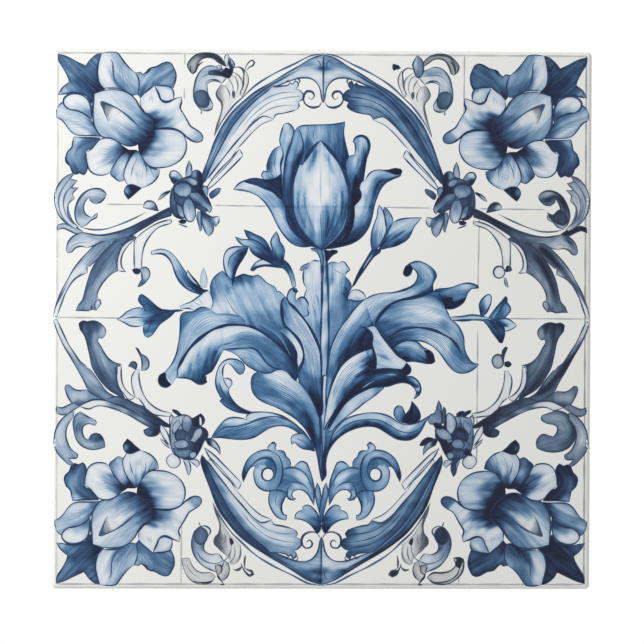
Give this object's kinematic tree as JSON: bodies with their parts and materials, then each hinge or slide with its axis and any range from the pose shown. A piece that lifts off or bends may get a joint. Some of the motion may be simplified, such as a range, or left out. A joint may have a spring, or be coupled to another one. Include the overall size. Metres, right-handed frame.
{
  "type": "delft tile",
  "caption": "Square flat glazed ceramic wall tile with softly rounded edges, a ribbed back and a blue-and-white flower ornament on its face.",
  "frame": {"origin": "centre of the bedding plane, on which the ribs of the back stand", "axes": "+Z out of the glazed face, +Y towards the top edge of its picture, +X towards the picture's right"},
  "size_m": [0.108, 0.108, 0.006],
  "materials": {
    "glazed_body": "gloss glaze over a pressed white biscuit body"
  },
  "bodies": {
    "root": {"tile": "glazed_body"}
  },
  "joints": []
}
